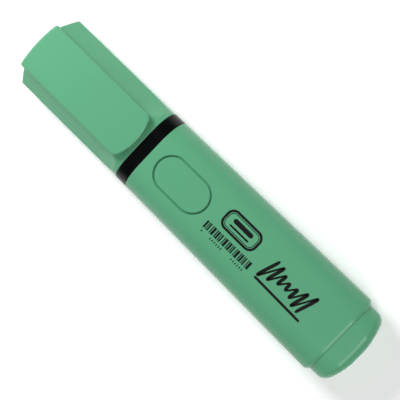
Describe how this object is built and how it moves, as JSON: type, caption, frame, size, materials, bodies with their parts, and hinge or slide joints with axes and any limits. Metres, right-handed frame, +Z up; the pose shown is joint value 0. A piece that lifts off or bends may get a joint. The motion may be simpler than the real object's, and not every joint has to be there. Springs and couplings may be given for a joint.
{
  "type": "highlighter pen",
  "caption": "Flat highlighter pen with a pull-off cap, a wide flat clip that flexes, a chisel felt nib, an ink rod and a ribbed grip pad.",
  "frame": {"origin": "under the middle of the capped pen, on the surface that it lies on", "axes": "+X along the pen to the crown of the cap, +Z up through the clip, +Y across the pen"},
  "size_m": [0.1154, 0.0244, 0.0166],
  "materials": {
    "green_plastic": "satin moulded polypropylene, pastel green",
    "black_plastic": "satin moulded polypropylene, black",
    "nib_felt": "bonded polyester felt, soaked in pastel green ink",
    "ink_fibre": "fibre rod soaked in pastel green ink",
    "clear_film": "thin wound plastic film",
    "natural_plastic": "uncoloured polyethylene"
  },
  "bodies": {
    "pen": {"barrel": "green_plastic", "rear_plug": "green_plastic", "nib_holder": "black_plastic", "nib": "nib_felt", "ink_reservoir": "ink_fibre", "reservoir_wrap": "clear_film", "breather_tube": "natural_plastic"},
    "cap_shell": {"cap": "green_plastic", "inner_cap": "natural_plastic"},
    "clip_tongue": {"clip": "green_plastic"}
  },
  "joints": [
    {"name": "cap_pull", "type": "slide", "parent": "pen", "child": "cap_shell", "axis": [1, 0, 0], "range_m": [0, 0.045]},
    {"name": "clip_flex", "type": "hinge", "parent": "cap_shell", "child": "clip_tongue", "pos_m": [0.0517, 0, 0.0166], "axis": [0, 1, 0], "range_deg": [0, 3], "stiffness_Nm_per_rad": 0.62}
  ]
}
